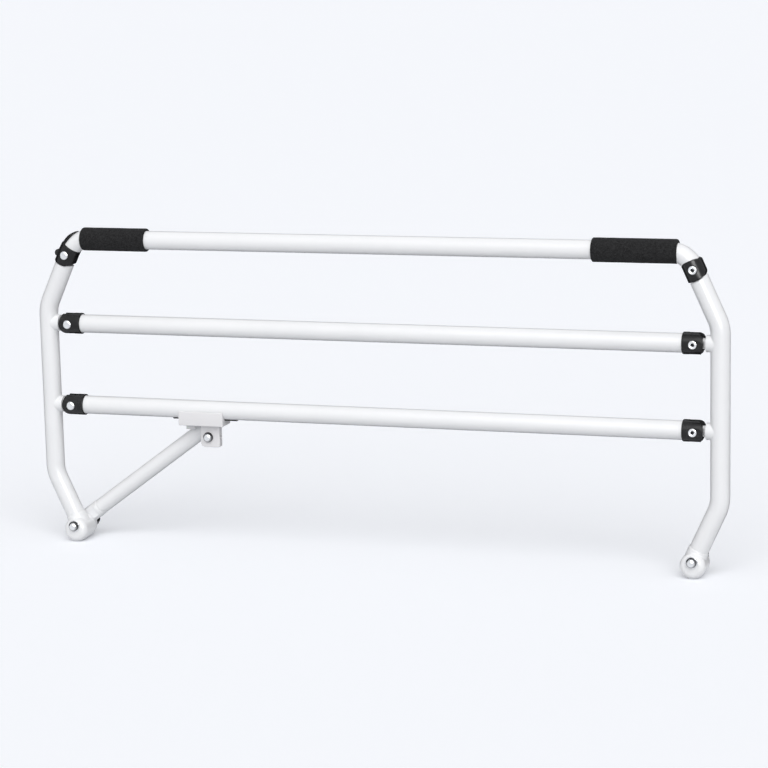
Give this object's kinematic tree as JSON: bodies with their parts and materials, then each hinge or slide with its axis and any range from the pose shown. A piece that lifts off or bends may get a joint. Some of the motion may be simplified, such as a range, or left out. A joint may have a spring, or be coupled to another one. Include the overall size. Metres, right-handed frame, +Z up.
{
  "type": "folding bed guard rail",
  "caption": "Folding bed guard: level tube rails between bent end posts, pinned in black sleeves, with foam grips and a slanted stay to a sliding saddle.",
  "frame": {"origin": "centre of the footprint, on the floor that both feet stand on", "axes": "+X along the rails, from the end with the stay to the other; +Y from the front, with the bolts' domed heads, to the back; +Z up"},
  "size_m": [0.9584, 0.065, 0.4371],
  "materials": {
    "white_paint": "smooth glossy white powder coat",
    "white_plastic": "smooth white moulded plastic",
    "black_plastic": "fine satin moulded black plastic",
    "black_foam": "matt closed-cell foam",
    "chrome": "bright chrome plate",
    "plain_steel": "plain zinc-plated steel"
  },
  "bodies": {
    "bed_bolt": {"left_foot_bolt": "chrome", "left_foot_washer": "chrome", "left_foot_nut": "black_plastic"},
    "left_post": {"left_post": "white_paint", "left_top_tongue": "white_paint", "left_foot": "white_paint", "left_mid_stub": "white_paint", "left_mid_tongue": "white_paint", "left_low_stub": "white_paint", "left_low_tongue": "white_paint"},
    "lower_rail": {"lower_rail": "white_paint", "left_low_sleeve": "black_plastic", "left_low_rivet": "chrome", "right_low_sleeve": "black_plastic", "right_low_rivet": "chrome"},
    "mid_rail": {"mid_rail": "white_paint", "left_mid_sleeve": "black_plastic", "left_mid_rivet": "chrome", "right_mid_sleeve": "black_plastic", "right_mid_rivet": "chrome"},
    "top_rail": {"top_rail": "white_paint", "left_grip": "black_foam", "right_grip": "black_foam", "left_top_sleeve": "black_plastic", "right_top_sleeve": "black_plastic", "left_top_rivet": "chrome", "right_top_rivet": "chrome", "release_lever_pin": "plain_steel", "release_lever_spring": "plain_steel"},
    "right_post": {"right_post": "white_paint", "right_top_tongue": "white_paint", "right_foot": "white_paint", "right_foot_bolt": "chrome", "right_foot_washer": "chrome", "right_foot_nut": "black_plastic", "right_mid_stub": "white_paint", "right_mid_tongue": "white_paint", "right_low_stub": "white_paint", "right_low_tongue": "white_paint"},
    "stay": {"stay_tube": "white_paint", "stay_foot_fitting": "white_paint", "stay_top_fitting": "plain_steel", "saddle_pin_bolt": "chrome", "saddle_pin_spacer": "plain_steel", "saddle_pin_nut": "plain_steel"},
    "saddle": {"saddle": "white_paint", "saddle_liner": "black_plastic", "latch_spring": "plain_steel"},
    "latch": {"latch_button": "white_plastic"},
    "lever": {"release_lever": "black_plastic"}
  },
  "joints": [
    {"name": "main_fold", "type": "hinge", "parent": "bed_bolt", "child": "left_post", "pos_m": [-0.4333, -0.00505, 0.023], "axis": [0, -1, 0], "range_deg": [0, 72]},
    {"name": "lower_rail_pivot", "type": "hinge", "parent": "left_post", "child": "lower_rail", "pos_m": [-0.4333, -0.00505, 0.1915], "axis": [0, -1, 0], "range_deg": [-72, 0]},
    {"name": "mid_rail_pivot", "type": "hinge", "parent": "left_post", "child": "mid_rail", "pos_m": [-0.4333, -0.00505, 0.3046], "axis": [0, -1, 0], "range_deg": [-72, 0]},
    {"name": "top_rail_pivot", "type": "hinge", "parent": "left_post", "child": "top_rail", "pos_m": [-0.4333, -0.00505, 0.3997], "axis": [0, -1, 0], "range_deg": [-72, 0]},
    {"name": "right_post_pivot", "type": "hinge", "parent": "lower_rail", "child": "right_post", "pos_m": [0.4333, -0.00505, 0.1915], "axis": [0, -1, 0], "range_deg": [0, 72]},
    {"name": "stay_pivot", "type": "hinge", "parent": "bed_bolt", "child": "stay", "pos_m": [-0.4333, -0.00505, 0.023], "axis": [0, -1, 0], "range_deg": [-30, 0]},
    {"name": "saddle_pivot", "type": "hinge", "parent": "stay", "child": "saddle", "pos_m": [-0.2353, -0.00505, 0.1539], "axis": [0, -1, 0], "range_deg": [0, 30]},
    {"name": "lever_pivot", "type": "hinge", "parent": "top_rail", "child": "lever", "pos_m": [-0.445, -0.00505, 0.40272], "axis": [0, -1, 0], "range_deg": [0, 20], "stiffness_Nm_per_rad": 0.03},
    {"name": "latch_press", "type": "slide", "parent": "saddle", "child": "latch", "axis": [0, 0, 1], "range_m": [0, 0.002], "stiffness_N_per_m": 300, "deforming": ["latch_spring"]}
  ],
  "couplings": [
    {"joint": "lower_rail_pivot", "follows": "main_fold", "ratio": -1},
    {"joint": "mid_rail_pivot", "follows": "main_fold", "ratio": -1},
    {"joint": "top_rail_pivot", "follows": "main_fold", "ratio": -1},
    {"joint": "right_post_pivot", "follows": "main_fold", "ratio": 1},
    {"joint": "stay_pivot", "follows": "main_fold", "ratio": -0.4163},
    {"joint": "saddle_pivot", "follows": "main_fold", "ratio": 0.4163}
  ]
}
